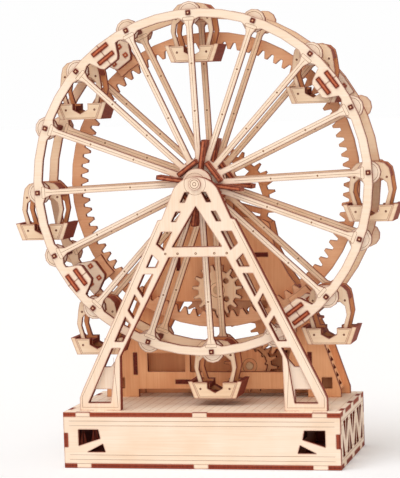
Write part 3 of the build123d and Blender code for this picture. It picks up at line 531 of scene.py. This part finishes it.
def spoke_and_seam_lines(lines, y, normal):
    """The lines on one side of a rim and its spokes."""
    for k in range(SPOKES):
        turn = spoke_step * k
        for inner, outer in SPOKE_RUNS:
            lines.stroke(on_wheel(turn, inner, y), on_wheel(turn, outer, y), normal)
        for radius in SPOKE_DOTS:
            lines.circle(on_wheel(turn, radius, y), dot_radius, normal, dot_line, dot_steps)
        lines.outline(pill(turn, y), normal)
    for seam in SEAMS:
        lines.stroke(on_wheel(seam, seam_inner, y), on_wheel(seam, seam_outer, y), normal)


def cut_end(dark, light, turn, y, normal, place_and_size):
    """Dark border and lighter middle line on the cut end of a key, fin or board."""
    radius, length, height = place_and_size
    half, rise = length / 2 - border_inset, height / 2 - border_inset
    corners = [on_wheel(turn, radius + up, y, aside)
               for aside, up in ((-half, -rise), (-half, rise), (half, rise), (half, -rise))]
    dark.outline(corners, normal, border_line)
    if length > height:
        ends = [on_wheel(turn, radius, y, side * (half - ember_inset)) for side in SIDES]
    else:
        ends = [on_wheel(turn, radius + side * (rise - ember_inset), y) for side in SIDES]
    light.path(ends, normal, ember_line)


def wheel_marks():
    lines = Engraving("wheel_engraved_lines", "wheel", burnt_line())
    # the burnt rim of a cut end: nearly black, and duller than a line
    border = charred("charred_border", "#3C0F08", "#5C1B0F", mark_crackle, 0.85)
    borders = Engraving("wheel_charred_borders", "wheel", border)
    # the bare middle of a square pin's end: pale, as on a face
    heart = charred("bare_pin_heart", "#D6A27A", "#E6BC96", mark_crackle, 0.6)
    hearts = Engraving("wheel_pin_hearts", "wheel", heart)
    # the middle ply in a cut end: orange-brown, lighter than the cut round it
    ember = charred("ember_ply_line", "#C26A42", "#D98E66", mark_crackle, 0.7)
    embers = Engraving("wheel_ember_lines", "wheel", ember)
    pin_front, pin_back = reach(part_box("rim_spacer_bars"), Y)
    for y, normal in ((wheel_front, FRONT), (rear_wheel_front, FRONT), (rear_wheel_back, BACK)):
        spoke_and_seam_lines(lines, y, normal)
    for k in range(SPOKES):
        turn = spoke_step * k
        for y, normal in ((wheel_front + ply, FRONT), (rear_wheel_back + ply, BACK)):
            lines.circle(on_wheel(turn, pin_circle, y), disc_mark_radius, normal, disc_mark_line)
        across = on_wheel(turn, pin_circle, 0, 1) - on_wheel(turn, pin_circle, 0)
        for y, normal in ((pin_front, FRONT), (pin_back, BACK)):
            hearts.square(on_wheel(turn, pin_circle, y), across, pin_heart, normal)
    rear_pin_front = rear_wheel_front - ply - rear_pin_proud
    for seam in SEAMS:
        across = on_wheel(seam, pin_circle, 0, 1) - on_wheel(seam, pin_circle, 0)
        for radius in KEY_RADII:
            cut_end(borders, embers, seam, pin_front, FRONT, (radius, key_length, ply))
        for radius in REAR_PINS:
            for side in SIDES:
                for y, normal in ((rear_pin_front, FRONT), (rear_wheel_back + ply, BACK)):
                    hearts.square(on_wheel(seam, radius, y, side * rear_pin_spread), across,
                                  pin_heart, normal)
    fin_front, fin_back = reach(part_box("hub_fins"), Y)
    for y, normal in ((fin_front, FRONT), (fin_back - fin_depth, FRONT), (fin_back, BACK)):
        for turn in FINS:
            cut_end(borders, embers, turn, y, normal, FIN_END)
        for turn in SEAMS:
            cut_end(borders, embers, turn, y, normal, BOARD_END)
    cap_front = reach(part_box("wheel_axle"), Y)[0]
    for radius, steps in CAP_CIRCLES:
        lines.circle((0, cap_front, axle_height), radius, FRONT, cap_line, steps)
    for piece in (lines, borders, hearts, embers):
        piece.finish()


# ---- marks on the stand
RAILS = (32.2, 29.0, 9.0, 5.8)           # heights of the lines along the base's panels
rail_inset = 4.0
TABS, half_tab = (-81.8, 0.0, 81.8), 5.1
PLANK = (6.0, 18.6)          # along the deck and across it
deck_border, plank_line, plank_rise = 4.0, 0.3, 0.02
BAR_PINS = (-22.0, -13.5, -0.9, 11.9, 20.5)
bar_pin_height, bar_pin_radius, bar_pin_line, bar_pin_steps = 144.9, 0.6, 0.5, 8
# lines inside the front tower's legs and feet, as x and z
LEG_LINE = ((25.4, 166.0), (81.4, 52.4), (83.9, 47.6), (83.9, 40.5))
FOOT_LINE = ((84.0, 40.5), (58.6, 40.5), (60.9, 74.8))
head_circle = 7.4


def stand_marks():
    lines = Engraving("stand_engraved_lines", "stand", burnt_line("_stand"))
    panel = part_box("base_front_panel")
    left, right = reach(panel, X)
    front, top = reach(panel, Y)[0], reach(panel, Z)[1]
    back = reach(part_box("base_back_panel"), Y)[1]
    # rails near the top and the bottom of the long panels, and the roots of the tabs
    for y, normal in ((front, FRONT), (back, BACK)):
        for z in RAILS:
            lines.stroke((left + rail_inset, y, z), (right - rail_inset, y, z), normal)
        for x in TABS:
            for z in (top - ply, ply):
                lines.stroke((x - half_tab, y, z), (x + half_tab, y, z), normal)
    # rails on the sides
    side_left, side_right = reach(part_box("base_side_panels"), X)
    for x, normal in ((side_right, RIGHT), (side_left, LEFT)):
        for z in RAILS:
            lines.stroke((x, front + rail_inset, z), (x, back - rail_inset, z), normal)
    tower_lines(lines)
    lines.finish()
    # lines between the deck's planks: faint, hardly darker than the birch
    faint = charred("faint_plank_line", "#C79C78", "#D9B18C", mark_crackle, 0.75)
    planks = Engraving("deck_plank_lines", "stand", faint)
    deck_lines(planks, left + deck_border, right - deck_border,
               front + deck_border, back - deck_border)
    planks.finish()


def deck_lines(lines, x0, x1, y0, y1):
    """Planks engraved in the deck: a border, lines across the deck and lines along it."""
    z = reach(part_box("base_deck"), Z)[1]
    lines.outline([(x0, y0, z), (x1, y0, z), (x1, y1, z), (x0, y1, z)], UP, plank_line,
                  plank_rise)
    wide, deep = PLANK
    for i in range(1, int((x1 - x0) / wide)):
        x = x0 + i * wide
        lines.stroke((x, y0, z), (x, y1, z), UP, plank_line, plank_rise)
    for i in range(1, int((y1 - y0) / deep) + 1):
        y = y0 + i * deep
        lines.stroke((x0, y, z), (x1, y, z), UP, plank_line, plank_rise)


def tower_lines(lines):
    y = reach(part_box("front_tower_face"), Y)[0]
    for x in BAR_PINS:
        lines.circle((x, y, bar_pin_height), bar_pin_radius, FRONT, bar_pin_line,
                     bar_pin_steps)
    for side in SIDES:
        for run in (LEG_LINE, FOOT_LINE):
            lines.path([(side * x, y, z) for x, z in run])
    lines.circle((0, y, axle_height), head_circle)


# ---- marks on the gears: body, node, and its shaft's x and z
GEAR_MARKS = (("drive", "drive_pinion", (0.0, 114.6)),
              ("upper_train", "upper_gear", (4.0, 176.07)),
              ("crank", "crank_gear", (45.3, 92.055)),
              ("lower_train", "index_disc", (19.0, 59.566)))
gear_mark_radius, gear_mark_line = 5.2, 0.3


def gear_marks():
    """A burnt circle round each shaft, on both faces of its gear.

    All but the crank's are on the rear tower's back plate as well."""
    burnt = burnt_line("_gear")
    plates = Engraving("rear_plate_engraved_lines", "stand", burnt)
    plate_back = reach(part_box("rear_tower_back_plate"), Y)[1]
    for body, node, (x, z) in GEAR_MARKS:
        rings = Engraving(body + "_engraved_lines", body, burnt)
        front, back = reach(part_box(node), Y)
        for y, normal in ((front, FRONT), (back, BACK)):
            rings.circle((x, y, z), gear_mark_radius, normal, gear_mark_line)
        rings.finish()
        if body != "crank":
            plates.circle((x, plate_back, z), gear_mark_radius, BACK, gear_mark_line)
    plates.finish()


# ---- marks on a gondola, each drawn to both sides of its middle
tub_pin_aside, tub_pin_up = 10.2, 6.6                # up from the tub's bottom
tub_lip = 0.7                # the sill is this far under the tub's top
TUB_LINE = ((6.4, 0.9), (14.4, 0.9), (10.7, 9.9), (0.0, 9.9))    # aside, and down from the sill
pin_over_sill = 22.0         # height of the pin that the gondola hangs on
CROWN_PINS = ((6.2, -1.8), (11.0, -3.5))             # aside, and up from that pin
pin_hole_radius, pin_hole_line, pin_hole_steps = 0.5, 0.6, 6


def gondola_marks():
    burnt = burnt_line("_gondola")
    # a peg's hole: brown, and duller than a line
    dark = charred("charred_pin_hole", "#6E3420", "#8E5236", mark_crackle, 0.85)
    for body in GONDOLAS:
        lines = Engraving(body + "_engraved_lines", body, burnt)
        pins = Engraving(body + "_pin_holes", body, dark)
        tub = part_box(body + "_tub")
        middle = sum(reach(tub, X)) / 2
        tub_front, tub_back = reach(tub, Y)
        bottom, top = reach(tub, Z)
        sill = top - tub_lip
        pin = sill + pin_over_sill
        for y, normal in ((tub_front, FRONT), (tub_back, BACK)):
            for side in SIDES:
                pins.circle((middle + side * tub_pin_aside, y, bottom + tub_pin_up),
                            pin_hole_radius, normal, pin_hole_line, pin_hole_steps)
                lines.path([(middle + side * x, y, sill - drop) for x, drop in TUB_LINE],
                           normal)
        frame_front, frame_back = reach(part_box(body + "_frame"), Y)
        for y, normal in ((frame_front, FRONT), (frame_back, BACK)):
            for side in SIDES:
                for x, z in CROWN_PINS:
                    pins.circle((middle + side * x, y, pin + z), pin_hole_radius, normal,
                                pin_hole_line, pin_hole_steps)
        lines.finish()
        pins.finish()


# ---- the sheet under the rear tower's back plate
sill_half = 60.8
SILL_Y, SILL_Z = (41.15, 43.85), (38.25, 44.9)       # from and to
sill_end = 7.0               # length of the part at each end


def back_sill():
    """The low sheet that closes the gap under the back plate, drawn in three lengths."""
    (near, far), (low, high) = SILL_Y, SILL_Z
    bpy.ops.object.select_all(action="DESELECT")
    bpy.ops.mesh.primitive_plane_add(size=1.0)
    sheet = bpy.context.object
    sheet.name = "rear_back_sill"
    bpy.ops.object.mode_set(mode="EDIT")
    bpy.ops.mesh.select_all(action="SELECT")
    bpy.ops.transform.resize(value=(2 * sill_half * MM, (high - low) * MM, 1),
                             center_override=(0, 0, 0))
    for side in SIDES:
        bpy.ops.mesh.select_all(action="SELECT")
        bpy.ops.mesh.bisect(plane_co=(side * (sill_half - sill_end) * MM, 0, 0),
                            plane_no=(1, 0, 0))
    bpy.ops.mesh.select_all(action="SELECT")
    bpy.ops.transform.rotate(value=pi / 2, orient_axis="X", center_override=(0, 0, 0))
    bpy.ops.transform.translate(value=(0, near * MM, (low + high) / 2 * MM))
    bpy.ops.mesh.extrude_region_move(
        TRANSFORM_OT_translate={"value": (0, (far - near) * MM, 0)})
    bpy.ops.mesh.select_all(action="SELECT")
    bpy.ops.mesh.normals_make_consistent(inside=False)
    bpy.ops.object.mode_set(mode="OBJECT")
    sheet.data.materials.append(birch_ply("laser_cut_birch_sill", DEEP_SHADED, Y,
                                          (-sill_half, near, low), X, None))
    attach(sheet, "stand")


STROKE = bare_stroke()
finish_sheets()
finish_pins()
wheel_marks()
stand_marks()
gondola_marks()
gear_marks()
back_sill()
bpy.data.objects.remove(STROKE)
studio()
camera()
bpy.context.scene.view_settings.view_transform = "Standard"
